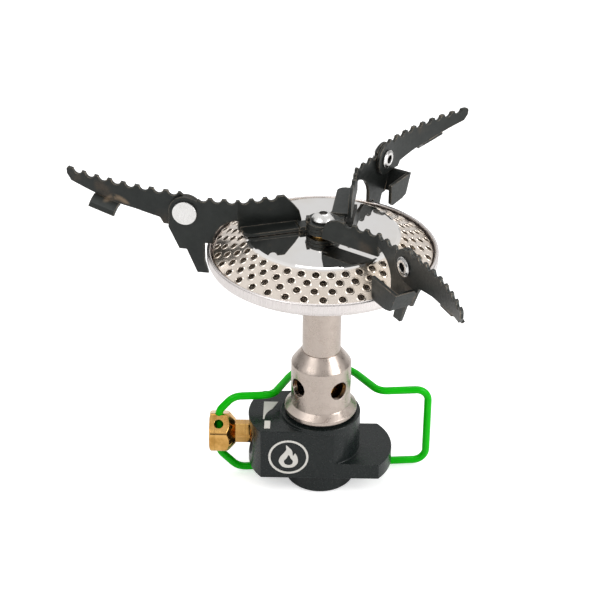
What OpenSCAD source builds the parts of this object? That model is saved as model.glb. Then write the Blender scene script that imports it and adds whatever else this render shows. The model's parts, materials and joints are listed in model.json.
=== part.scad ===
// Compact screw-on gas stove for hiking: valve block, mixing chamber, burner head,
// three folding toothed pot supports and a folding wire valve handle.
// Millimetres, +Z up, origin at the canister thread mouth.

/* [Valve block] */
// length of the valve block over its rounded ends
block_l = 37.4; // [36.5:0.1:40]
// radius of the rounded ends
end_r = 15.0; // [14.5:0.1:17]
// thickness between the two milled flats
block_w = 19.3; // [17:0.1:22]
// underside of the block above the thread mouth
block_z0 = 5.2; // [4:0.1:8]
// top face of the valve side of the block
block_z1 = 19.5; // [17:0.1:22]
// top face of the thin wing opposite the valve
wing_z = 9.6; // [8:0.1:12]
// diameter of the round turret under the mixing chamber
turret_d = 20.6; // [19:0.1:24]
// diameter of the threaded boss
boss_d = 17.7; // [15:0.1:20]
// nominal canister thread diameter
thread_d = 11.1; // [10:0.1:12]
// depth of the canister thread
thread_depth = 5.0; // [4:0.1:5]

/* [Valve] */
// height of the spindle axis
valve_z = 13.1; // [12.9:0.05:13.3]
// hexagonal knob size across corners
knob_corner = 11.4; // [10.6:0.1:11.8]
// distance from the stove axis to the wire hole in the knob
knob_x = 26.3; // [25:0.1:29]
// spindle shaft diameter
spindle_d = 3.0; // [2.5:0.1:4]

/* [Wire handle] */
// wire diameter with coating
wire_d = 2.0; // [1.6:0.1:3]
// height of the upper long wire run above the valve axis
wire_top = 10.5; // [10.2:0.1:12]
// depth of the lower long wire run below the valve axis
wire_low = 11.6; // [10.2:0.1:11.8]
// reach of the handle from the knob hole
wire_len = 54.6; // [50:0.1:60]
// swing of the handle away from the folded centre line
handle_rest = 5.2; // [0:0.1:10]

/* [Mixing chamber and stem] */
// chamber outside diameter
chamber_d = 15.34; // [14:0.02:18]
// height of the top edge of the chamber cylinder
chamber_z = 35.1; // [32:0.1:40]
// air hole diameter
air_hole_d = 4.9; // [3:0.1:6]
// stem outside diameter
stem_d = 9.78; // [8:0.02:12]

/* [Burner head] */
// burner pan outside diameter
pan_d = 57.0; // [50:0.1:70]
// top of the rolled pan rim
rim_z = 68.0; // [64:0.1:72]
// top of the polished centre disc
cap_z = 72.2; // [70:0.1:75]
// diameter of the polished centre disc
disc_d = 38.0; // [34:0.1:42]
// flame port diameter
port_d = 1.7; // [1:0.1:1.9]
// flame ports in each ring
ports = 36; // [24:1:48]

/* [Pot supports] */
// height of the toothed top edge of the legs
support_z = 80.4; // [80:0.1:81]
// sheet thickness of legs and arms
sheet = 0.9; // [0.7:0.05:1.5]
// distance of the leg plate from the stove axis
leg_off = 6.0; // [5:0.1:8]
// distance from the axis to the fold line of the leg plate
fold_x = 19.95; // [18:0.05:22]
// angle of the fold in the leg plate
fold_a = 24.9; // [15:0.1:35]
// distance from the fold line to the rivet
rivet_s = 13.05; // [11:0.05:15]
// length of the arm beyond the rivet
arm_len = 32.6; // [28:0.1:38]
// radius the arm is curved to
arm_r = 77.4; // [60:0.1:120]
// direction of the left leg
az_left = 196.8; // [190:0.1:205]
// direction of the front leg
az_front = 326.15; // [310:0.05:340]
// direction of the rear leg
az_back = 83.65; // [70:0.05:95]

/* [Hidden] */
$fn = 96;

end_c = block_l / 2 - end_r;
seat_z = 7.0;
seat_r = 4.6;
spot_r = 5.9;
turret_r = turret_d / 2;
turret_z = 20.3;
boss_r = boss_d / 2;
wire_r = wire_d / 2;
flange_z = 20.95;
chamber_r = chamber_d / 2;
stem_r = stem_d / 2;
cone_top = chamber_z + 3.7;
stem_z0 = chamber_z + 1.2;
stem_z1 = 64.0;
pan_r = pan_d / 2;
disc_r = disc_d / 2;
cap_t = 0.55;
cone_r1 = 27.1;
cone_z1 = rim_z - 0.8;
cone_z0 = cap_z - 0.35;
cone_a = atan2(cone_z0 - cone_z1, cone_r1 - disc_r);
row_r = [20.15, 22.1, 24.05, 26.03];
washer_z = cap_z + 0.02;
eye_r = 4.2;
eye_left = cap_z + 0.5;
eye_back = eye_left + sheet + 0.05;
eye_front = eye_back + sheet + 0.05;
top_z = eye_front + sheet + 0.02;
head_z = top_z + 0.35;
ledge_left = cap_z + 0.1 + sheet;
ledge_front = 75.2;
ledge_back = 75.1;
tooth_r = 1.2;
rivet_z = 3.05;
arm_gap = 0.2;
arm_off = sheet + arm_gap;
wall_off = 6.0;
rest_gap = 0.15;

// ---------- helpers ----------

module x_cyl(r, x0, x1, fn = 64) {
  translate([x0, 0, valve_z])
    rotate([0, 90, 0])
      cylinder(r = r, h = x1 - x0, $fn = fn);
}

module ring(r0, r1, z0, z1) {
  difference() {
    translate([0, 0, z0])
      cylinder(r = r1, h = z1 - z0);
    translate([0, 0, z0 - 1])
      cylinder(r = r0, h = z1 - z0 + 2);
  }
}

module torus(r, c, z) {
  translate([0, 0, z])
    rotate_extrude()
      translate([r, 0])
        circle(r = c, $fn = 40);
}

// ---------- valve block ----------

module valve_body() {
  color([0.09, 0.09, 0.10])
    difference() {
      union() {
        intersection() {
          translate([-end_c, 0, block_z0])
            cylinder(r = end_r, h = block_z1 - block_z0);
          translate([-block_l, -block_w / 2, block_z0 - 1])
            cube([block_l, block_w, block_z1 - block_z0 + 2]);
        }
        intersection() {
          translate([end_c, 0, block_z0])
            cylinder(r = end_r, h = wing_z - block_z0);
          translate([-1, -block_w / 2, block_z0 - 1])
            cube([block_l, block_w, wing_z - block_z0 + 2]);
        }
        intersection() {
          translate([0, 0, block_z0])
            cylinder(r = turret_r, h = turret_z - block_z0);
          translate([-turret_r - 1, -block_w / 2, block_z0])
            cube([2 * turret_r + 2, block_w, turret_z]);
        }
        translate([0, 0, block_z1 - 0.6])
          cylinder(r = turret_r, h = turret_z - block_z1 + 0.6);
        cylinder(r = boss_r - 0.5, h = 1);
        translate([0, 0, 0.5])
          cylinder(r = boss_r, h = block_z0 + 0.5);
      }
      // canister thread, seal seat and gas inlet
      translate([0, 0, -1])
        cylinder(r = thread_d / 2, h = thread_depth + 1);
      translate([0, 0, thread_depth - 0.1])
        cylinder(r = seat_r, h = seat_z - thread_depth + 0.1);
      translate([0, 0, seat_z - 0.1])
        cylinder(r = 1.9, h = 4.2);
      translate([0, 0, seat_z + 3])
        cylinder(r = 0.9, h = valve_z - seat_z - 3);
      // outlet up to the jet
      translate([0, 0, valve_z])
        cylinder(r = 0.7, h = 4);
      translate([0, 0, 15.9])
        cylinder(r = 2.0, h = 6);
      // spindle bore, thread, gland pocket and spot face
      x_cyl(1.0, -6.2, 0.4);
      x_cyl(2.05, -13.2, -6);
      x_cyl(4.1, -19, -13.2);
      x_cyl(spot_r, -19, -17.3);
    }
}

module canister_seal() {
  color([0.05, 0.05, 0.05])
    torus(3.5, 0.9, seat_z - 0.92);
}

module valve_pin() {
  color([0.76, 0.60, 0.30])
    union() {
      translate([0, 0, thread_depth + 0.05])
        cylinder(r = 1.1, h = seat_z - thread_depth + 0.05);
      translate([0, 0, seat_z])
        cylinder(r = 1.85, h = 1.0);
    }
}

module inlet_filter() {
  color([0.72, 0.60, 0.42])
    translate([0, 0, seat_z + 1.05])
      cylinder(r = 1.8, h = 1.9);
}

// ---------- valve spindle, gland and handle ----------

module turned(points) {
  translate([0, 0, valve_z])
    rotate([0, 90, 0])
      rotate_extrude()
        polygon(points);
}

module x_hex(rc, x0, x1, turn) {
  translate([x0, 0, valve_z])
    rotate([turn, 0, 0])
      rotate([0, 90, 0])
        cylinder(r = rc, h = x1 - x0, $fn = 6);
}

module valve_spindle() {
  color([0.80, 0.62, 0.30])
    difference() {
      union() {
        // hexagonal knob with turned edges and a cone behind it
        intersection() {
          turned([[0, -28.8], [knob_r - 0.5, -28.8], [knob_r, -28.4], [knob_r, -24.2],
                  [3.3, -22.1], [0, -22.1]]);
          x_hex(knob_corner / 2, -30, -20, 6);
        }
        // hexagonal neck
        intersection() {
          turned([[0, -22.5], [4, -22.5], [4, -18.5], [2.3, -17.9], [0, -17.9]]);
          x_hex(3.0, -22.6, -17, 21);
        }
        // shaft, adjusting thread and needle
        turned([[0, -18.4], [spindle_d / 2, -18.4], [spindle_d / 2, -11], [2.0, -11],
                [2.0, -7.0], [0.8, -7.0], [0.8, -2.4], [0.15, -0.8], [0, -0.8]]);
      }
      // wire hole and cross hole
      translate([-knob_x, 0, valve_z - 8])
        cylinder(r = wire_r + 0.05, h = 16, $fn = 48);
      translate([-knob_x, 0, valve_z])
        rotate([36, 0, 0])
          translate([0, 0, -8])
            cylinder(r = 1.2, h = 16, $fn = 48);
    }
}

module spindle_seal() {
  color([0.05, 0.05, 0.05])
    translate([-12.6, 0, valve_z])
      rotate([0, 90, 0])
        rotate_extrude()
          translate([1.78, 0])
            circle(r = 0.25, $fn = 32);
}

module gland_nut() {
  color([0.78, 0.61, 0.30])
    difference() {
      x_cyl(4.05, -17.6, -13.4);
      x_cyl(spindle_d / 2 + 0.05, -19, -12);
      translate([-18, -5, valve_z - 0.5])
        cube([1.3, 10, 1.0]);
    }
}

// each bend is drawn a hair thinner and runs 0.2 mm into the straights beside it
module bend(r, a0, da) {
  rotate([0, 0, a0 - 11.5 / r])
    rotate_extrude(angle = da + 23 / r)
      translate([r, 0])
        circle(r = wire_r - 0.02, $fn = 40);
}

module flat_arc(cx, cy, r, a0, da) {
  translate([cx, cy, 0])
    bend(r, a0, da);
}

module up_arc(cx, cz, r, a0, da) {
  translate([cx, 0, cz])
    rotate([90, 0, 0])
      bend(r, a0, da);
}

module rod(p, az, el, h) {
  translate(p)
    rotate([0, 0, az])
      rotate([0, 90 - el, 0])
        cylinder(r = wire_r, h = h, $fn = 48);
}

knob_r = knob_corner / 2 - 0.2;
wz0 = knob_corner * 0.474 - 0.25;
wr1 = 3;
wr2 = 4.5;
wa = 48;
wx_a = wr1 * (1 - cos(90 - wa));
wz_a = wz0 + wr1 * sin(90 - wa);
bx1 = 11.6;
bx2 = 43.9;
br = 4;
bl = 7.2;
bp = [bx1 + br * sin(60), br * (1 - cos(60))];
bq = [bp[0] + bl * cos(60), bp[1] + bl * sin(60)];
big_r = ((bx2 + bx1) / 2 - bq[0]) / sin(60);
big_c = [(bx2 + bx1) / 2, bq[1] - big_r * cos(60)];
wc = 3.3;

// one long run at height h with the slope that leads to it
module wire_half(h) {
  wl1 = (h - wz_a - wr2 * (1 - cos(wa))) / sin(wa);
  wx_c = wx_a + wl1 * cos(wa) + wr2 * sin(wa);
  up_arc(wr1, wz0, wr1, 90 + wa, 90 - wa);
  rod([wx_a, 0, wz_a], 0, wa, wl1);
  up_arc(wx_c, h - wr2, wr2, 90, wa);
  rod([wx_c, 0, h], 0, 0, bx1 - wx_c);
  translate([0, 0, h]) {
    flat_arc(bx1, br, br, -90, 60);
    rod([bp[0], bp[1], 0], 60, 0, bl);
    flat_arc(big_c[0], big_c[1], big_r, 30, 120);
    rod([bx1 + bx2 - bq[0], bq[1], 0], -60, 0, bl);
    flat_arc(bx2, br, br, -150, 60);
  }
  rod([bx2, 0, h], 0, 0, wire_len - wc - bx2);
  up_arc(wire_len - wc, h - wc, wc, 0, 90);
}

module wire_handle() {
  color([0.05, 0.62, 0.08])
    translate([-knob_x, 0, valve_z])
      rotate([0, 0, handle_rest])
        union() {
          translate([0, 0, -wz0])
            cylinder(r = wire_r, h = 2 * wz0, $fn = 48);
          translate([wire_len, 0, -wire_low + wc])
            cylinder(r = wire_r, h = wire_top + wire_low - 2 * wc, $fn = 48);
          wire_half(wire_top);
          mirror([0, 0, 1])
            wire_half(wire_low);
        }
}

// ---------- jet, mixing chamber and stem ----------

module chamber_gasket() {
  color([0.06, 0.06, 0.06])
    ring(3.9, 8.6, turret_z + 0.01, flange_z - 0.01);
}

module jet() {
  color([0.78, 0.61, 0.30])
    difference() {
      union() {
        translate([0, 0, 16.4])
          cylinder(r = 1.95, h = 4.2);
        translate([0, 0, turret_z + 0.02])
          cylinder(r = 3.3, h = 3.4, $fn = 6);
        translate([0, 0, 23.6])
          cylinder(r = 2.4, h = 4.9);
        translate([0, 0, 28.5])
          cylinder(r1 = 2.4, r2 = 1.1, h = 1.7);
      }
      translate([0, 0, 15])
        cylinder(r = 1.1, h = 13);
      translate([0, 0, 27])
        cylinder(r = 0.2, h = 5, $fn = 24);
    }
}

module mixing_chamber() {
  color([0.72, 0.72, 0.71])
    difference() {
      rotate_extrude()
        polygon([[6.4, flange_z], [9.15, flange_z], [9.3, flange_z + 0.15],
                 [9.3, flange_z + 1.15], [chamber_r, flange_z + 2.5],
                 [chamber_r, chamber_z], [stem_r + 0.12, cone_top],
                 [stem_r + 0.02, cone_top], [stem_r + 0.02, stem_z0],
                 [stem_r - 0.75, stem_z0], [stem_r - 0.75, stem_z0 - 1.2],
                 [6.4, chamber_z - 2.2]]);
      for (a = [0 : 90 : 270])
        rotate([0, 0, a - 51.7])
          translate([0, 0, 29.7])
            rotate([0, 90, 0])
              cylinder(d = air_hole_d, h = 12, $fn = 64);
    }
}

module stem_tube() {
  color([0.74, 0.74, 0.73])
    ring(stem_r - 0.75, stem_r, stem_z0 + 0.02, stem_z1);
}

// ---------- burner head ----------

module burner_pan() {
  color([0.70, 0.69, 0.68])
    union() {
      rotate_extrude()
        polygon([[stem_r + 0.02, 58.5], [6.0, 58.5], [6.0, 60.9],
                 [26.6, 64.1], [27.4, 64.35], [28.1, 64.85],
                 [pan_r, 65.7], [pan_r, rim_z - 0.45], [pan_r - 0.8, rim_z - 0.45],
                 [pan_r - 0.8, 66.0], [27.3, 65.4], [26.6, 65.0],
                 [5.8, 61.75], [stem_r + 0.02, 61.6]]);
      torus(pan_r - 0.45, 0.45, rim_z - 0.45);
    }
}

module burner_cap() {
  color([0.78, 0.78, 0.78])
    difference() {
      rotate_extrude()
        polygon([[1.6, cap_z - cap_t], [disc_r - 0.9, cap_z - cap_t],
                 [disc_r - 0.3, cone_z0 - cap_t * 0.9], [cone_r1 - 0.55, cone_z1 - 0.35],
                 [cone_r1 - 0.55, 66.0], [cone_r1, 66.0],
                 [cone_r1, cone_z1 - 0.05], [cone_r1 - 0.1, cone_z1 + 0.06],
                 [disc_r, cone_z0], [disc_r - 0.35, cap_z - 0.1],
                 [disc_r - 0.9, cap_z], [1.6, cap_z]]);
      for (k = [0 : 3])
        for (i = [0 : ports - 1])
          rotate([0, 0, (i + 0.5 * ((k + 1) % 2)) * 360 / ports + 0.55])
            translate([row_r[k], 0, cone_z0 - (row_r[k] - disc_r) * tan(cone_a)])
              rotate([0, cone_a, 0])
                cylinder(d = port_d, h = 3, center = true, $fn = 20);
    }
}

module flame_mesh() {
  color([0.45, 0.40, 0.34])
    rotate_extrude()
      polygon([[disc_r - 0.4, cone_z0 - 1.0], [cone_r1 - 0.9, cone_z1 - 0.75],
               [cone_r1 - 0.9, cone_z1 - 1.05], [disc_r - 0.4, cone_z0 - 1.3]]);
}

module cap_nut() {
  color([0.70, 0.70, 0.70])
    difference() {
      translate([0, 0, cap_z - cap_t - 2.42])
        cylinder(d = 6.35, h = 2.4, $fn = 6);
      translate([0, 0, 60])
        cylinder(r = 1.5, h = 15, $fn = 48);
    }
}

module pivot_screw() {
  color([0.80, 0.80, 0.80])
    difference() {
      union() {
        translate([0, 0, 68.6])
          cylinder(r = 1.48, h = head_z - 68.5, $fn = 48);
        intersection() {
          translate([0, 0, head_z])
            cylinder(r = 2.87, h = 1.75);
          translate([0, 0, head_z + 1.75 - 3.4])
            sphere(r = 3.4);
        }
      }
      translate([0, 0, head_z + 0.75])
        cylinder(d = 2.31, h = 3, $fn = 6);
    }
}

module pivot_washer() {
  color([0.78, 0.60, 0.28])
    ring(1.6, 3.3, washer_z, eye_left - 0.04);
}

module spring_washer() {
  color([0.12, 0.12, 0.12])
    ring(1.6, 2.8, top_z, head_z - 0.01);
}

// ---------- pot supports ----------

// side view of the leg plate between the centre and the fold
module inner_profile(plate_h) {
  difference() {
    polygon([[3.9, -sheet], [3.9, 0.3], [4.45, 2.6], [5.6, 4.2], [8.2, plate_h],
             [fold_x, plate_h], [fold_x, -sheet]]);
    for (k = [0 : 2])
      translate([11.3 + 3.46 * k, plate_h + 0.15])
        circle(r = tooth_r, $fn = 40);
  }
}

// side view of the leg plate beyond the fold, with the foot outside the rim
module outer_profile(plate_h, drop) {
  difference() {
    union() {
      polygon([[0, 1.7], [0.7, 1.7], [2.6, 1.0], [4.25, -0.2], [5.5, -2.1],
               [6.0, -3.6], [6.0, -drop], [8.3, -drop], [8.3, -9.9], [7.4, -13.4],
               [10.3, -13.4], [12.9, -7.1], [14.7, -7.1], [17.35, -1.25],
               [17.1, rivet_z], [10.1, plate_h - 0.9], [9.6, plate_h - 0.3],
               [9.4, plate_h], [0, plate_h]]);
      translate([rivet_s, rivet_z])
        circle(r = 4.15);
    }
    for (k = [0 : 2])
      translate([1.6 + 3.5 * k, plate_h + 0.15])
        circle(r = tooth_r, $fn = 40);
    translate([rivet_s, rivet_z])
      circle(r = 1.65, $fn = 48);
  }
}

module slab(off, t) {
  translate([0, off + t / 2, 0])
    rotate([90, 0, 0])
      linear_extrude(height = t)
        children();
}

// frame of the plate beyond the fold
module folded() {
  translate([fold_x, -leg_off, 0])
    rotate([0, 0, -fold_a])
      children();
}

module leg_shape(eye, ledge) {
  plate_h = support_z - ledge;
  drop = ledge - rim_z - rest_gap;
  difference() {
    union() {
      // eye and its short arm
      translate([0, 0, eye])
        cylinder(r = eye_r, h = sheet);
      translate([2.6, -4.6, eye])
        cube([3.0, 3.6, sheet]);
      // step between eye level and ledge level
      translate([4.75, -5.2, min(eye, ledge - sheet)])
        cube([0.85, 4.0, abs(ledge - sheet - eye) + sheet]);
      // ledge
      translate([4.75, -leg_off, ledge - sheet])
        cube([12.6, leg_off - 1.4, sheet]);
      translate([17.0, -leg_off, ledge - sheet])
        cube([2.4, leg_off - 3.4, sheet]);
      translate([17.35, -3.45, ledge - sheet])
        cylinder(r = 2.05, h = sheet, $fn = 48);
      // plate up to the fold
      translate([0, -leg_off, ledge])
        slab(0, sheet)
          inner_profile(plate_h);
      // rounded outside of the fold
      translate([fold_x, -leg_off, ledge + 1.7])
        cylinder(r = sheet / 2, h = plate_h - 1.7, $fn = 32);
      // plate beyond the fold
      translate([0, 0, ledge])
        folded()
          slab(0, sheet)
            outer_profile(plate_h, drop);
      // wall closing the outside of the hooked foot
      translate([0, 0, ledge])
        folded()
          slab(-wall_off / 2, wall_off + sheet)
            polygon([[17.35, -1.25], [14.98, -6.45], [13.98, -6.45], [16.35, -1.25]]);
      // return wall parallel to the plate
      translate([0, 0, ledge])
        folded()
          slab(-wall_off, sheet)
            polygon([[7.0, -1.0], [17.2, -1.25], [17.35, -1.25], [14.98, -6.45],
                     [12.9, -drop], [7.9, -drop], [7.0, -drop + 0.8]]);
    }
    translate([0, 0, eye - 1])
      cylinder(r = 1.55, h = sheet + 2, $fn = 48);
  }
}

module leg_left() {
  color([0.13, 0.13, 0.12])
    rotate([0, 0, az_left])
      leg_shape(eye_left, ledge_left);
}

module leg_front() {
  color([0.13, 0.13, 0.12])
    rotate([0, 0, az_front])
      union() {
        leg_shape(eye_front, ledge_front);
        // upturned swivel stop beside the screw head
        rotate([0, 0, 222])
          translate([3.3, -0.8, eye_front])
            cube([0.85, 1.6, sheet + 1.1]);
      }
}

module leg_back() {
  color([0.13, 0.13, 0.12])
    rotate([0, 0, az_back])
      leg_shape(eye_back, ledge_back);
}

// distance along the straight start line of a point at arc length s on the curved arm
function along(s) = s <= rivet_s ? s : rivet_s + arm_r * sin((s - rivet_s) / arm_r * 180 / PI);

tip_s = rivet_s + arm_len;

// side view of the arm, heel is the height of its lowest corner
module arm_profile(heel) {
  difference() {
    union() {
      polygon([[rivet_s, rivet_z - 4.1], [along(17.6), heel], [along(18.8), heel],
               [along(19.7), 0.45], [along(26), 1.85], [along(30), 2.4],
               [along(37.4), 4.05], [along(44.4), 5.7], [along(tip_s), 7.3],
               [along(tip_s + 0.1), 8.6], [along(tip_s - 0.5), 9.2],
               [along(14.4), 7.85], [along(13.6), 7.1]]);
      translate([rivet_s, rivet_z])
        circle(r = 4.15);
    }
    for (k = [0 : 7])
      translate([along(16.2 + 3.72 * k), 8.02 + 0.165 * k])
        circle(r = tooth_r, $fn = 40);
    translate([rivet_s, rivet_z])
      circle(r = 1.65, $fn = 48);
  }
}

module hung(droop) {
  translate([rivet_s, 0, rivet_z])
    rotate([0, droop, 0])
      translate([-rivet_s, 0, -rivet_z])
        children();
}

// droop is the angle the arm hangs below the line of the leg
module arm_shape(ledge, heel, droop) {
  translate([0, 0, ledge])
    folded()
      hung(droop)
        union() {
          intersection() {
            slab(-arm_off - 4, sheet + 8)
              arm_profile(heel);
            union() {
              translate([rivet_s - 6, -arm_off - sheet / 2, -8])
                cube([6, sheet, 24]);
              difference() {
                translate([rivet_s, -arm_off - arm_r, -8])
                  cylinder(r = arm_r + sheet / 2, h = 24, $fn = 720);
                translate([rivet_s, -arm_off - arm_r, -9])
                  cylinder(r = arm_r - sheet / 2, h = 26, $fn = 720);
                translate([rivet_s - 200, -arm_off - 200, -10])
                  cube([200, 400, 28]);
              }
            }
          }
          // tab bent out of the lower edge
          translate([along(33.7), -arm_off - arm_r * (1 - cos((33.7 - rivet_s) / arm_r * 180 / PI)), 3.3])
            rotate([0, 0, -(33.7 - rivet_s) / arm_r * 180 / PI])
              rotate([0, -11, 0])
                translate([-3.6, 0, 0])
                  rotate([90, 0, 90])
                    linear_extrude(height = 7.2)
                      polygon([[-0.3, 0.02], [0.7, -0.12], [1.7, -0.7], [2.5, -1.55], [3.05, -2.6],
                               [2.25, -2.98], [1.75, -2.1], [1.1, -1.42], [0.4, -1.0], [-0.3, -0.9]]);
        }
}

module arm_left() {
  color([0.14, 0.14, 0.13])
    rotate([0, 0, az_left])
      arm_shape(ledge_left, -1.18, 0);
}

module arm_front() {
  color([0.14, 0.14, 0.13])
    rotate([0, 0, az_front])
      arm_shape(ledge_front, -1.18, 0);
}

module arm_back() {
  color([0.14, 0.14, 0.13])
    rotate([0, 0, az_back])
      arm_shape(ledge_back, -0.85, 3.3);
}

// stepped hollow rivet: flat head on the leg side, rolled end on the arm side
module rivet_shape(ledge) {
  translate([0, 0, ledge])
    folded()
      translate([rivet_s, 0, rivet_z])
        rotate([90, 0, 0])
          difference() {
            union() {
              translate([0, 0, -sheet / 2 - 0.8])
                cylinder(r = 3.05, h = 0.75);
              translate([0, 0, -sheet / 2 - 0.2])
                cylinder(r = 1.6, h = sheet * 2 + arm_gap + 0.5);
              translate([0, 0, sheet * 1.5 + arm_gap + 0.06])
                cylinder(r = 2.3, h = 0.35);
              translate([0, 0, sheet * 1.5 + arm_gap + 0.4])
                cylinder(r1 = 2.3, r2 = 1.8, h = 0.35);
            }
            translate([0, 0, sheet / 2])
              cylinder(r = 1.1, h = 5, $fn = 48);
          }
}

module rivet_left() {
  color([0.80, 0.79, 0.78])
    rotate([0, 0, az_left])
      rivet_shape(ledge_left);
}

module rivet_front() {
  color([0.80, 0.79, 0.78])
    rotate([0, 0, az_front])
      rivet_shape(ledge_front);
}

module rivet_back() {
  color([0.80, 0.79, 0.78])
    rotate([0, 0, az_back])
      rivet_shape(ledge_back);
}

module washer_shape(ledge) {
  translate([0, 0, ledge])
    folded()
      translate([rivet_s, 0, rivet_z])
        rotate([90, 0, 0])
          translate([0, 0, sheet / 2 + 0.02])
            difference() {
              cylinder(r = 3.4, h = arm_gap - 0.04);
              translate([0, 0, -1])
                cylinder(r = 1.65, h = 3, $fn = 48);
            }
}

module wave_washer_left() {
  color([0.25, 0.24, 0.22])
    rotate([0, 0, az_left])
      washer_shape(ledge_left);
}

module wave_washer_front() {
  color([0.25, 0.24, 0.22])
    rotate([0, 0, az_front])
      washer_shape(ledge_front);
}

module wave_washer_back() {
  color([0.25, 0.24, 0.22])
    rotate([0, 0, az_back])
      washer_shape(ledge_back);
}

// ---------- printed marks ----------

module front_badge() {
  color([0.78, 0.77, 0.74])
    translate([-8.1, -block_w / 2 - 0.01, 11.8])
      rotate([90, 0, 0])
        difference() {
          cylinder(r = 5.15, h = 0.12);
          translate([0, 0, -1])
            cylinder(r = 4.6, h = 3);
        }
}

module flow_marks() {
  color([0.75, 0.74, 0.71])
    translate([0, 0, block_z1 + 0.01])
      union() {
        linear_extrude(height = 0.12)
          difference() {
            polygon([[-14.8, 4.1], [-11.1, 4.1], [-14.5, -3.9], [-14.8, -3.9]]);
            translate([-8.4, -3.6])
              circle(r = 6.0);
          }
        translate([-14.35, -8.2, 0])
          cube([1.5, 3.4, 0.12]);
      }
}

valve_body();
canister_seal();
valve_pin();
inlet_filter();
valve_spindle();
spindle_seal();
gland_nut();
wire_handle();
chamber_gasket();
jet();
mixing_chamber();
stem_tube();
burner_pan();
burner_cap();
flame_mesh();
cap_nut();
pivot_screw();
pivot_washer();
spring_washer();
leg_left();
leg_front();
leg_back();
arm_left();
arm_front();
arm_back();
rivet_left();
rivet_front();
rivet_back();
wave_washer_left();
wave_washer_front();
wave_washer_back();
front_badge();
flow_marks();
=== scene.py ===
"""Looks of the compact gas stove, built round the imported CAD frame. Metres, +Z up."""

import json
import math

import bmesh
import bpy
from mathutils import Matrix, Vector
from mathutils.geometry import tessellate_polygon


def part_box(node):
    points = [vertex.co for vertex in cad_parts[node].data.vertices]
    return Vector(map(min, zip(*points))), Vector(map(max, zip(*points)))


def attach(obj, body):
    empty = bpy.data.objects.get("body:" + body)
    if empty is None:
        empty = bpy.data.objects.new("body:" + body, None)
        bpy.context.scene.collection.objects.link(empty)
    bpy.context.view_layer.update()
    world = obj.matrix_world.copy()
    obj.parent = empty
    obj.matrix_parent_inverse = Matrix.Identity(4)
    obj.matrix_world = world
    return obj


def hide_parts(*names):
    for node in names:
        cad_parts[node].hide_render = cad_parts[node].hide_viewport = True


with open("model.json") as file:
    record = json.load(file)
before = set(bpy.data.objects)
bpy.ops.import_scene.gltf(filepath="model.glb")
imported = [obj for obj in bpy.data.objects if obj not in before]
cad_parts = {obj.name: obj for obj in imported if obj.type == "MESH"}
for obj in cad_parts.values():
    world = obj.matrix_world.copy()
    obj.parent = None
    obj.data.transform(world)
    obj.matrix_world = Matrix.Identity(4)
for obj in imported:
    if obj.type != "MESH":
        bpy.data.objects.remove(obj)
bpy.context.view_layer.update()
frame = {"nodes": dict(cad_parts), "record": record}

MM = 0.001
SMOOTH_ANGLE = math.radians(32)
BEVEL_ANGLE = math.radians(28)
FLAT_ANGLE = math.radians(0.6)
CAD_WELD = 0.0005 * MM
RING_WELD = 0.0001 * MM
BODY_OF = {node: body for body, nodes in frame["record"]["behaviour"]["bodies"].items() for node in nodes}
SLOT_OF = {part["node"]: part["material_slot"] for part in frame["record"]["subparts"]}


# ---------- materials ----------

# The rubbed place above the left arm's tab: its middle, the radii of its ring, and the heights between
# which it fades in.
SCAR = (-0.0509, 0.0075, 0.0738)
SCAR_RADII = (0.0022, 0.0036, 0.0046)
SCAR_HEIGHTS = (0.0756, 0.0764)

# The radii between which the cap's polished disc turns into its cone.
DISC_EDGE = (0.0188, 0.0194)


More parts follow.
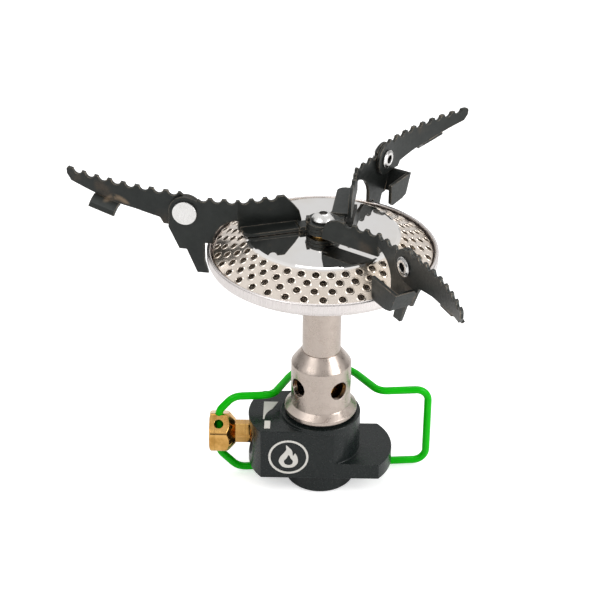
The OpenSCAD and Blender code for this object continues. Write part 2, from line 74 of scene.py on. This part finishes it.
class Shader:
    """One procedural material: a Principled shader and short calls that add nodes to it.

    Scales of noise are in features per metre, and widths, distances and heights of bumps are in metres.
    """

    def __init__(self, name, color, metallic, roughness, **sockets):
        self.material = bpy.data.materials.new(name)
        self.material.use_nodes = True
        self.nodes = self.material.node_tree.nodes
        self.links = self.material.node_tree.links
        self.surface = self.nodes["Principled BSDF"]
        self.surface.inputs["Base Color"].default_value = (*color, 1)
        self.surface.inputs["Metallic"].default_value = metallic
        self.surface.inputs["Roughness"].default_value = roughness
        for socket, value in sockets.items():
            self.surface.inputs[socket.replace("_", " ").title().replace("Ior", "IOR")].default_value = value
        self.place = self.nodes.new("ShaderNodeTexCoord").outputs["Object"]

    def node(self, kind, inputs=(), **settings):
        made = self.nodes.new(kind)
        for key, value in settings.items():
            setattr(made, key, value)
        for key, value in dict(inputs).items():
            if isinstance(value, bpy.types.NodeSocket):
                self.links.new(value, made.inputs[key])
            else:
                made.inputs[key].default_value = value
        return made

    def math(self, operation, first, second=0.0):
        return self.node("ShaderNodeMath", {0: first, 1: second}, operation=operation).outputs[0]

    def noise(self, scale, detail=3.0, roughness=0.5, place=None):
        """Noise from 0 to 1."""
        vector = self.place if place is None else place
        inputs = {"Vector": vector, "Scale": scale, "Detail": detail, "Roughness": roughness}
        return self.node("ShaderNodeTexNoise", inputs).outputs["Fac"]

    def squeezed(self, x=1.0, y=1.0, z=1.0):
        """Object coordinates with each axis stretched by a factor."""
        inputs = {0: self.place, 1: (x, y, z)}
        return self.node("ShaderNodeVectorMath", inputs, operation="MULTIPLY").outputs[0]

    def around(self, per_turn, height=1.0):
        """Coordinates that run round the stove's axis and up it."""
        split = self.node("ShaderNodeSeparateXYZ", {0: self.place})
        angle = self.math("ARCTAN2", split.outputs["Y"], split.outputs["X"])
        turn = self.math("MULTIPLY", angle, per_turn)
        up = self.math("MULTIPLY", split.outputs["Z"], height)
        return self.node("ShaderNodeCombineXYZ", {0: turn, 1: up}).outputs[0]

    def radius(self):
        """Distance from the stove's axis."""
        split = self.node("ShaderNodeSeparateXYZ", {0: self.place})
        flat = self.node("ShaderNodeCombineXYZ", {0: split.outputs["X"], 1: split.outputs["Y"]})
        return self.node("ShaderNodeVectorMath", {0: flat.outputs[0]}, operation="LENGTH").outputs["Value"]

    def near(self, x, y, z, inner, outer):
        """1 inside a ball round a point, falling to 0 at its outer radius."""
        gap = self.node("ShaderNodeVectorMath", {0: self.place, 1: (x, y, z)}, operation="DISTANCE")
        return self.band(gap.outputs["Value"], outer, inner)

    def band(self, value, low, high, low_out=0.0, high_out=1.0):
        """A smooth step from low_out to high_out while value runs from low to high."""
        inputs = {0: value, 1: low, 2: high, 3: low_out, 4: high_out}
        made = self.node("ShaderNodeMapRange", inputs, clamp=True, interpolation_type="SMOOTHSTEP")
        return made.outputs[0]

    def edges(self, width, low=0.02, high=0.22):
        """1 on convex and concave edges and 0 on faces, over the given width."""
        soft = self.node("ShaderNodeBevel", {"Radius": width}, samples=6).outputs[0]
        hard = self.node("ShaderNodeNewGeometry").outputs["Normal"]
        facing = self.node("ShaderNodeVectorMath", {0: soft, 1: hard}, operation="DOT_PRODUCT")
        return self.band(self.math("SUBTRACT", 1.0, facing.outputs["Value"]), low, high)

    def mix(self, amount, first, second):
        first = (*first, 1) if isinstance(first, tuple) else first
        second = (*second, 1) if isinstance(second, tuple) else second
        inputs = {0: amount, 6: first, 7: second}
        return self.node("ShaderNodeMix", inputs, data_type="RGBA").outputs[2]

    def color(self, value):
        self.links.new(value, self.surface.inputs["Base Color"])
        return self

    def rough(self, value, low, high):
        """Roughness from low to high as value runs from 0 to 1."""
        spread = self.band(value, 0.25, 0.75, low, high)
        self.links.new(spread, self.surface.inputs["Roughness"])
        return self

    def bump(self, height, distance, strength=1.0):
        inputs = {"Height": height, "Distance": distance, "Strength": strength}
        chain = self.surface.inputs["Normal"]
        if chain.is_linked:
            inputs["Normal"] = chain.links[0].from_socket
        self.links.new(self.node("ShaderNodeBump", inputs).outputs[0], chain)
        return self


def black_anodised():
    made = Shader("black_anodised", (0.012, 0.013, 0.015), 0.0, 0.30, specular_ior_level=0.32)
    worn = made.math("MULTIPLY", made.edges(0.0002), made.band(made.noise(900), 0.38, 0.66))
    tone = made.mix(made.noise(140, 4), (0.0052, 0.0082, 0.0080), (0.0092, 0.0126, 0.0124))
    made.color(made.mix(worn, tone, (0.13, 0.125, 0.12)))
    made.rough(made.noise(700, 4), 0.22, 0.34)
    made.bump(made.noise(14000, 2), 0.000005, 0.5)
    return made.bump(made.noise(9000, 2, place=made.squeezed(z=0.04)), 0.000003, 0.4)


def brass():
    made = Shader("brass", (0.78, 0.50, 0.18), 1.0, 0.16)
    tarnish = made.band(made.noise(260, 5, 0.6), 0.42, 0.72)
    rings = made.band(made.noise(1400, 2, place=made.squeezed(1, 0.02, 0.02)), 0.52, 0.68)
    clean = made.mix(tarnish, (0.74, 0.43, 0.135), (0.50, 0.26, 0.06))
    made.color(made.mix(made.math("MULTIPLY", rings, 0.25), clean, (0.28, 0.14, 0.035)))
    made.rough(made.noise(900, 4), 0.10, 0.22)
    return made.bump(made.noise(9000, 2, place=made.squeezed(1, 0.03, 0.03)), 0.000004, 0.5)


def turned_metal():
    made = Shader("turned_metal", (0.60, 0.57, 0.55), 1.0, 0.34)
    blotch = made.noise(420, 5, 0.65)
    speckle = made.noise(5200, 3, 0.7)
    base = made.mix(blotch, (0.40, 0.335, 0.29), (0.61, 0.53, 0.475))
    made.color(made.mix(made.band(speckle, 0.52, 0.86), base, (0.33, 0.275, 0.235)))
    made.rough(blotch, 0.22, 0.38)
    made.bump(made.noise(9500, 2, place=made.squeezed(0.02, 0.02, 1)), 0.000012, 0.6)
    return made.bump(speckle, 0.000007, 0.35)


def pan_metal():
    made = Shader("pan_metal", (0.70, 0.68, 0.665), 1.0, 0.30)
    grain = made.noise(1.0, 4, 0.6, place=made.around(110, 260))
    blotch = made.noise(260, 4)
    made.color(made.mix(made.math("MULTIPLY", grain, blotch), (0.80, 0.755, 0.74), (0.56, 0.515, 0.495)))
    made.rough(grain, 0.22, 0.38)
    made.bump(made.noise(1.0, 2, place=made.around(420, 300)), 0.000008, 0.5)
    return made.bump(made.noise(7000, 2), 0.000004, 0.3)


def cap_metal():
    made = Shader("cap_metal", (0.86, 0.845, 0.83), 1.0, 0.05)
    cone = made.band(made.radius(), *DISC_EDGE)
    heat = made.band(made.noise(75, 2), 0.48, 0.72)
    disc = made.mix(made.noise(300, 4), (0.90, 0.885, 0.875), (0.84, 0.825, 0.81))
    disc = made.mix(made.math("MULTIPLY", heat, 0.10), disc, (0.80, 0.64, 0.42))
    beige = made.mix(made.noise(420, 5, 0.65), (0.72, 0.64, 0.565), (0.88, 0.80, 0.72))
    beige = made.mix(made.math("MULTIPLY", heat, 0.35), beige, (0.62, 0.47, 0.29))
    made.color(made.mix(cone, disc, beige))
    fine = made.math("MULTIPLY", made.noise(1600, 4, 0.7), made.band(cone, 0.0, 1.0, 0.05, 0.16))
    roughness = made.math("ADD", made.math("MULTIPLY", cone, 0.16), fine)
    made.links.new(roughness, made.surface.inputs["Roughness"])
    made.bump(made.noise(90, 2), 0.00005, 0.25)
    return made.bump(made.math("MULTIPLY", made.noise(5200, 3), cone), 0.000004, 0.3)


def blackened_steel():
    made = Shader("blackened_steel", (0.030, 0.028, 0.027), 0.5, 0.40)
    rubbed = made.math("MULTIPLY", made.edges(0.0004, 0.01, 0.16), made.band(made.noise(420, 4), 0.32, 0.56))
    patch = made.math("MULTIPLY", made.band(made.noise(95, 3), 0.62, 0.74), made.noise(2400, 3))
    inner, middle, outer = SCAR_RADII
    scar = made.math("SUBTRACT", made.near(*SCAR, middle, outer), made.near(*SCAR, inner, middle))
    scar = made.math("MULTIPLY", scar, made.band(made.noise(620, 4), 0.26, 0.56))
    height = made.node("ShaderNodeSeparateXYZ", {0: made.place}).outputs["Z"]
    scar = made.math("MULTIPLY", scar, made.band(height, *SCAR_HEIGHTS))
    tone = made.mix(made.noise(330, 5, 0.65), (0.0098, 0.0120, 0.0112), (0.030, 0.0335, 0.0310))
    browned = made.mix(made.math("MULTIPLY", patch, 0.6), tone, (0.12, 0.082, 0.052))
    browned = made.mix(scar, browned, (0.20, 0.145, 0.095))
    made.color(made.mix(made.math("MULTIPLY", rubbed, 0.8), browned, (0.36, 0.29, 0.215)))
    made.rough(made.noise(1500, 5, 0.65), 0.28, 0.48)
    made.bump(made.noise(8000, 3), 0.000008, 0.45)
    return made.bump(made.noise(2600, 2, place=made.squeezed(0.15, 0.15, 1)), 0.000005, 0.3)


def green_coat():
    made = Shader("green_coat", (0.0, 0.62, 0.004), 0.0, 0.20,
                  specular_ior_level=0.12, coat_weight=0.05, coat_roughness=0.08)
    made.color(made.mix(made.noise(220, 2), (0.001, 0.43, 0.001), (0.004, 0.49, 0.002)))
    made.rough(made.noise(500, 2), 0.17, 0.24)
    return made.bump(made.noise(700, 2), 0.00003, 0.15)


def bright_steel():
    made = Shader("bright_steel", (0.80, 0.79, 0.78), 1.0, 0.2)
    made.color(made.mix(made.noise(700, 4), (0.84, 0.83, 0.82), (0.66, 0.645, 0.625)))
    made.rough(made.noise(1500, 4), 0.16, 0.34)
    return made.bump(made.noise(5200, 3), 0.000006, 0.4)


# Dark brownish steel. The cups in the rivet holes and the screw's socket are made of it, as painted shade.
def dark_steel():
    made = Shader("dark_steel", (0.09, 0.085, 0.08), 0.9, 0.38)
    made.color(made.mix(made.noise(800, 4), (0.07, 0.066, 0.062), (0.15, 0.14, 0.13)))
    made.rough(made.noise(1500, 3), 0.3, 0.5)
    return made.bump(made.noise(5000, 3), 0.000006, 0.4)


def woven_steel():
    made = Shader("woven_steel", (0.30, 0.265, 0.22), 1.0, 0.4)
    made.color(made.mix(made.noise(700, 4), (0.12, 0.10, 0.075), (0.36, 0.32, 0.27)))
    made.rough(made.noise(1500, 3), 0.32, 0.52)
    return made.bump(made.noise(5000, 3), 0.000006, 0.4)


def rubber():
    made = Shader("rubber", (0.014, 0.014, 0.014), 0.0, 0.6)
    made.color(made.mix(made.noise(900, 4), (0.010, 0.010, 0.010), (0.024, 0.023, 0.022)))
    made.rough(made.noise(1800, 3), 0.52, 0.7)
    return made.bump(made.noise(6500, 3), 0.00001, 0.5)


def print_ink():
    made = Shader("print", (0.62, 0.60, 0.56), 0.0, 0.45)
    thin = made.band(made.noise(5200, 4, 0.7), 0.60, 0.78)
    made.color(made.mix(thin, (0.64, 0.62, 0.575), (0.36, 0.35, 0.33)))
    made.rough(made.noise(2500, 3), 0.36, 0.55)
    return made.bump(made.noise(7000, 3), 0.000006, 0.4)


def pale_floor():
    """Glows a little, more to the camera than to the stove, so it shows white and lights little."""
    made = Shader("pale_floor", (0.86, 0.86, 0.86), 0.0, 0.7, emission_color=(1, 1, 1, 1))
    made.color(made.mix(made.noise(12, 2), (0.855, 0.855, 0.855), (0.865, 0.865, 0.865)))
    seen = made.node("ShaderNodeLightPath").outputs["Is Camera Ray"]
    made.links.new(made.band(seen, 0.0, 1.0, 0.05, 0.5), made.surface.inputs["Emission Strength"])
    return made


MATERIAL = {
    "black_anodised": black_anodised(),
    "brass": brass(),
    "turned_metal": turned_metal(),
    "pan_metal": pan_metal(),
    "cap_metal": cap_metal(),
    "blackened_steel": blackened_steel(),
    "green_coat": green_coat(),
    "bright_steel": bright_steel(),
    "dark_steel": dark_steel(),
    "woven_steel": woven_steel(),
    "rubber": rubber(),
    "print": print_ink(),
}


# ---------- pieces ----------


def finish_piece(piece, body, slot, replaced=()):
    """Gives a piece the material of its slot, hangs it on its body's empty, and hides the CAD nodes it stands
    for.
    """
    piece.data.materials.clear()
    piece.data.materials.append(MATERIAL[slot].material)
    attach(piece, body)
    if replaced:
        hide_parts(*replaced)
    return piece


def new_piece(name, shape):
    """An object made from a bmesh, smooth over every edge up to the smoothing angle."""
    mesh = bpy.data.meshes.new(name)
    shape.to_mesh(mesh)
    shape.free()
    piece = bpy.data.objects.new(name, mesh)
    bpy.context.scene.collection.objects.link(piece)
    mesh.shade_smooth()
    mesh.set_sharp_from_angle(angle=SMOOTH_ANGLE)
    return piece


def rounded(node, width):
    """A copy of a CAD node with its sharp edges broken, as tumbled or deburred metal has them."""
    shape = bmesh.new()
    shape.from_mesh(frame["nodes"][node].data)
    bmesh.ops.remove_doubles(shape, verts=shape.verts, dist=CAD_WELD)
    bmesh.ops.dissolve_limit(shape, angle_limit=FLAT_ANGLE, verts=shape.verts, edges=shape.edges)
    piece = new_piece(node + "_shell", shape)
    bevel = piece.modifiers.new("edge", "BEVEL")
    bevel.limit_method = "ANGLE"
    bevel.angle_limit = BEVEL_ANGLE
    bevel.width = width
    bevel.segments = 3
    bevel.use_clamp_overlap = False
    bevel.miter_outer = "MITER_ARC"
    bevel.harden_normals = True
    return finish_piece(piece, BODY_OF[node], SLOT_OF[node], [node])


def add_ring(shape, outline, place, sides=24):
    """Adds a small turned ring to shape: outline is (radius, height) in mm, in the ring's own frame."""
    rings = []
    for index in range(sides):
        turn = 2 * math.pi * index / sides
        across, up = math.cos(turn), math.sin(turn)
        here = [place @ Vector((r * MM * across, r * MM * up, z * MM)) for r, z in outline]
        rings.append([shape.verts.new(point) for point in here])
    for index in range(sides):
        here, there = rings[index], rings[(index + 1) % sides]
        for k in range(len(outline) - 1):
            shape.faces.new((here[k], there[k], there[k + 1], here[k + 1]))


def turned_piece(name, body, slot, outline, place, sides):
    """One turned ring whose outline may close on itself or on its axis."""
    shape = bmesh.new()
    add_ring(shape, outline, place, sides)
    bmesh.ops.remove_doubles(shape, verts=shape.verts, dist=RING_WELD)
    bmesh.ops.recalc_face_normals(shape, faces=shape.faces)
    return finish_piece(new_piece(name, shape), body, slot)


def top_of(node):
    """The place of a CAD node's highest point, on the stove's axis."""
    return Matrix.Translation((0, 0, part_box(node)[1].z))


# ---------- burner head ----------

CAP_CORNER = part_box("burner_cap")[1]
DISC_RADIUS = 19.0 * MM
DISC_STEP = 0.35 * MM
CONE_RADIUS = CAP_CORNER.x
CONE_TOP = CAP_CORNER.z - DISC_STEP
CONE_DROP = 4.65 * MM
CONE_ANGLE = math.atan2(CONE_DROP, CONE_RADIUS - DISC_RADIUS)
PORTS = 36
PORT_ROWS = [20.15 * MM, 22.1 * MM, 24.05 * MM, 26.03 * MM]
PORT_TURN = math.radians(0.55)


def cone_height(radius):
    """Height of the cone's upper face at a distance from the axis."""
    return CONE_TOP - (radius - DISC_RADIUS) * math.tan(CONE_ANGLE)


def port_lips():
    """The raised collars left round the punched flame ports."""
    lip = [(1.22, -0.03), (1.14, 0.03), (1.06, 0.09), (0.98, 0.12), (0.90, 0.10), (0.85, 0.03), (0.84, -0.45)]
    shape = bmesh.new()
    for row, radius in enumerate(PORT_ROWS):
        for index in range(PORTS):
            turn = 2 * math.pi * (index + 0.5 * ((row + 1) % 2)) / PORTS + PORT_TURN
            place = (Matrix.Rotation(turn, 4, "Z") @ Matrix.Translation((radius, 0, cone_height(radius)))
                     @ Matrix.Rotation(CONE_ANGLE, 4, "Y"))
            add_ring(shape, lip, place)
    bmesh.ops.recalc_face_normals(shape, faces=shape.faces)
    return finish_piece(new_piece("port_lips", shape), "stove", "cap_metal")


def woven_mesh():
    """Round wires that run round the cone and down it, each passing over and under the others."""
    pitch = 0.46 * MM
    wire = 0.10 * MM
    lift = 0.09 * MM
    inner = DISC_RADIUS - 0.3 * MM
    outer = CONE_RADIUS - 1.0 * MM
    drop = 1.05 * MM
    slope = math.tan(CONE_ANGLE)
    spokes = 2 * int(math.pi * (inner + outer) / pitch / 2)
    rows = int((outer - inner) / math.cos(CONE_ANGLE) / pitch)
    normal_r, normal_z = math.sin(CONE_ANGLE), math.cos(CONE_ANGLE)
    shape = bmesh.new()

    def on_cone(radius, turn, height):
        r = radius + normal_r * height
        z = CONE_TOP - drop - (radius - DISC_RADIUS) * slope + normal_z * height
        return Vector((r * math.cos(turn), r * math.sin(turn), z))

    def tube(points, closed):
        rings = []
        for index, point in enumerate(points):
            before = points[index - 1] if closed or index else point
            after = points[(index + 1) % len(points)] if closed or index + 1 < len(points) else point
            along = (after - before).normalized()
            out = Vector((point.x, point.y, 0)).normalized()
            up = (Vector((0, 0, 1)) * normal_z + out * normal_r).normalized()
            side = along.cross(up).normalized()
            rings.append([shape.verts.new(point + side * (wire * a) + up * (wire * b))
                          for a, b in ((1, 0), (0, 1), (-1, 0), (0, -1))])
        last = len(rings) if closed else len(rings) - 1
        for index in range(last):
            here, there = rings[index], rings[(index + 1) % len(rings)]
            for k in range(4):
                after = (k + 1) % 4
                shape.faces.new((here[k], here[after], there[after], there[k]))
        if not closed:
            shape.faces.new(rings[0])
            shape.faces.new(rings[-1])

    for row in range(rows + 1):
        radius = inner + (outer - inner) * row / rows
        sign = 1 if row % 2 else -1
        tube([on_cone(radius, 2 * math.pi * k / spokes, sign * (lift if k % 2 else -lift))
              for k in range(spokes)], True)
    for spoke in range(spokes):
        turn = 2 * math.pi * spoke / spokes
        sign = -1 if spoke % 2 else 1
        tube([on_cone(inner + (outer - inner) * k / rows, turn, sign * (lift if k % 2 else -lift))
              for k in range(rows + 1)], False)
    bmesh.ops.recalc_face_normals(shape, faces=shape.faces)
    return finish_piece(new_piece("woven_flame_mesh", shape), "stove", "woven_steel", ["flame_mesh"])


def smoothed(points, steps=6):
    """A closed curve through every point (Catmull-Rom)."""
    count = len(points)
    curve = []
    for index in range(count):
        a, b, c, d = (Vector(points[(index + k) % count]) for k in (-1, 0, 1, 2))
        for step in range(steps):
            t = step / steps
            curve.append(0.5 * (2 * b + (c - a) * t + (2 * a - 5 * b + 4 * c - d) * t * t
                                + (3 * b - a - 3 * c + d) * t * t * t))
    return curve


def printed_flame():
    """A plain flame outline printed inside the ring on the front of the valve block."""
    outer = [(0, -3.3), (1.5, -2.9), (2.4, -1.7), (2.35, -0.2), (1.75, 1.1), (1.2, 0.4), (0.95, 1.9),
             (0.1, 3.0), (-0.6, 3.6), (-0.55, 2.3), (-1.2, 1.2), (-2.05, 0.1), (-2.45, -1.4), (-1.55, -2.9)]
    inner = [(0, -2.5), (0.95, -2.1), (1.15, -1.2), (0.6, -0.3), (0.1, 0.7), (-0.45, -0.3), (-1.1, -1.2),
             (-0.9, -2.1)]
    rings = [smoothed(outer), smoothed(inner)]
    thickness = 0.11 * MM
    low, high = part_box("front_badge")
    middle = (low + high) / 2
    shape = bmesh.new()

    def layer(y):
        places = [[(middle.x + x * MM, y, middle.z + z * MM) for x, z in ring] for ring in rings]
        return [[shape.verts.new(place) for place in ring] for ring in places]

    back, front = layer(high.y), layer(high.y - thickness)
    for corners in tessellate_polygon(rings):
        for side in (back, front):
            points = side[0] + side[1]
            shape.faces.new([points[k] for k in corners])
    for here, there in zip(back, front):
        for k in range(len(here)):
            shape.faces.new((here[k - 1], here[k], there[k], there[k - 1]))
    bmesh.ops.recalc_face_normals(shape, faces=shape.faces)
    return finish_piece(new_piece("printed_flame", shape), "stove", "print")


def jet_sleeve():
    """Brass sleeve round the jet, seen through the air holes."""
    outline = [(2.45, -6.4), (4.5, -6.4), (4.6, -6.3), (4.6, -0.6), (4.35, -0.2), (3.0, 0.1), (2.45, 0.1),
               (2.45, -6.4)]
    turned_piece("jet_sleeve", "stove", "brass", outline, top_of("jet"), 96)


def painted_shade_cups():
    """Dark cups in the hollow rivets and in the screw's hexagon socket: painted shade inside those holes."""
    joints = {joint["name"]: joint for joint in frame["record"]["behaviour"]["joints"]}
    for side in ("left", "front", "back"):
        joint = joints[side + "_arm_fold"]
        along_rivet = Vector(joint["axis"]).to_track_quat("Z", "Y").to_matrix().to_4x4()
        place = Matrix.Translation(joint["pos_m"]) @ along_rivet
        cup = [(0, 0.50), (1.06, 0.50), (1.06, 1.9)]
        # A dark cup inside each hollow rivet, painted shade in its hole.
        turned_piece(side + "_rivet_shade_cup", side + "_leg", "dark_steel", cup, place, 48)
    socket = [(0, -0.95), (1.10, -0.95), (1.10, -0.25)]
    # A dark cup inside the screw's hexagon socket, painted shade in the socket.
    turned_piece("socket_shade_cup", "stove", "dark_steel", socket, top_of("pivot_screw"), 6)


port_lips()
woven_mesh()
printed_flame()
jet_sleeve()
# Dark cups that paint shade in the rivet holes and the screw's socket.
painted_shade_cups()


# ---------- every CAD node ----------

# Widths in mm of the broken edges.
EDGE_WIDTH = {
    "valve_body": 0.22, "valve_spindle": 0.12, "gland_nut": 0.12, "mixing_chamber": 0.10, "pivot_screw": 0.10,
    "leg_left": 0.14, "leg_front": 0.14, "leg_back": 0.14,
    "arm_left": 0.14, "arm_front": 0.14, "arm_back": 0.14,
    "rivet_left": 0.12, "rivet_front": 0.12, "rivet_back": 0.12,
}
for node, thing in frame["nodes"].items():
    thing.data.materials.clear()
    thing.data.materials.append(MATERIAL[SLOT_OF[node]].material)
for node, width in EDGE_WIDTH.items():
    rounded(node, width * MM)


# ---------- stage, light and camera ----------

# The sky's brightness: at the horizon, straight up and at heights between, as (height, brightness).
HORIZON = 0.10
ZENITH = 1.0
WORLD_STOPS = ((0.20, 0.16), (0.45, 0.80))
# Its strength from the middle to the sides.
WORLD_SIDES = (0.82, 1.1)
# Between these directions behind the stove it takes the brightness of a place higher up, by this much.
WORLD_BEHIND = (0.3, 0.8)
BEHIND_RISE = 0.35

# Half the width of the floor, in metres.
FLOOR_REACH = 4.0


def stage_floor():
    shape = bmesh.new()
    bmesh.ops.create_grid(shape, x_segments=8, y_segments=8, size=FLOOR_REACH)
    floor = new_piece("studio_floor", shape)
    floor.data.materials.append(pale_floor().material)


def softbox(name, place, aim, size, watts):
    light = bpy.data.lights.new(name, "AREA")
    light.shape = "RECTANGLE"
    light.size, light.size_y = size
    light.energy = watts
    lamp = bpy.data.objects.new(name, light)
    lamp.location = place
    lamp.rotation_euler = (Vector(aim) - Vector(place)).to_track_quat("-Z", "Y").to_euler()
    bpy.context.scene.collection.objects.link(lamp)


def studio_world():
    """White to the camera. Elsewhere bright above, behind and at the sides, and dark at the front horizon."""
    world = bpy.data.worlds.new("studio")
    bpy.context.scene.world = world
    world.use_nodes = True
    nodes, links = world.node_tree.nodes, world.node_tree.links
    nodes.clear()
    split = nodes.new("ShaderNodeSeparateXYZ")
    links.new(nodes.new("ShaderNodeTexCoord").outputs["Generated"], split.inputs[0])
    behind = nodes.new("ShaderNodeMapRange")
    links.new(split.outputs["Y"], behind.inputs[0])
    behind.inputs[1].default_value, behind.inputs[2].default_value = WORLD_BEHIND
    behind.inputs[3].default_value, behind.inputs[4].default_value = 0.0, BEHIND_RISE
    height = nodes.new("ShaderNodeMath")
    links.new(split.outputs["Z"], height.inputs[0])
    links.new(behind.outputs[0], height.inputs[1])
    ramp = nodes.new("ShaderNodeValToRGB")
    links.new(height.outputs[0], ramp.inputs[0])
    ramp.color_ramp.elements[0].color = (HORIZON, HORIZON, HORIZON, 1)
    ramp.color_ramp.elements[1].color = (ZENITH, ZENITH, ZENITH, 1)
    for position, grey in WORLD_STOPS:
        stop = ramp.color_ramp.elements.new(position)
        stop.color = (grey, grey, grey, 1)
    side = nodes.new("ShaderNodeMath")
    side.operation = "ABSOLUTE"
    links.new(split.outputs["X"], side.inputs[0])
    sides = nodes.new("ShaderNodeMapRange")
    links.new(side.outputs[0], sides.inputs[0])
    sides.inputs[3].default_value, sides.inputs[4].default_value = WORLD_SIDES
    studio = nodes.new("ShaderNodeBackground")
    links.new(ramp.outputs[0], studio.inputs["Color"])
    links.new(sides.outputs[0], studio.inputs["Strength"])
    white = nodes.new("ShaderNodeBackground")
    both = nodes.new("ShaderNodeMixShader")
    white.inputs["Color"].default_value = (1, 1, 1, 1)
    links.new(nodes.new("ShaderNodeLightPath").outputs["Is Camera Ray"], both.inputs[0])
    links.new(studio.outputs[0], both.inputs[1])
    links.new(white.outputs[0], both.inputs[2])
    output = nodes.new("ShaderNodeOutputWorld")
    links.new(both.outputs[0], output.inputs[0])


def photo_camera():
    """Looks along +Y from 29 degrees above, from the distance and with the lens the perspective shows."""
    target = Vector((0, 0, 0.060))
    distance = 0.430
    elevation = math.radians(29.23)
    roll = math.radians(0.82)
    data = bpy.data.cameras.new("photo_camera")
    data.sensor_width = 36
    data.lens = 104.03
    data.shift_x = -0.0375
    data.shift_y = -0.0413
    data.clip_start = 0.01
    camera = bpy.data.objects.new("photo_camera", data)
    forward = Vector((0, math.cos(elevation), -math.sin(elevation)))
    turn = Matrix.Rotation(math.pi / 2 - elevation, 4, "X") @ Matrix.Rotation(roll, 4, "Z")
    camera.matrix_world = Matrix.Translation(target - forward * distance) @ turn
    bpy.context.scene.collection.objects.link(camera)
    bpy.context.scene.camera = camera


stage_floor()
studio_world()
softbox("key", (-0.32, -0.30, 0.48), (0, 0, 0.05), (0.40, 0.40), 0.85)
softbox("fill", (0.42, -0.22, 0.26), (0, 0, 0.05), (0.20, 0.40), 1.5)
softbox("back", (0.10, 0.36, 0.66), (0, 0, 0.06), (0.40, 0.24), 0.7)
photo_camera()
bpy.context.scene.view_settings.view_transform = "Standard"
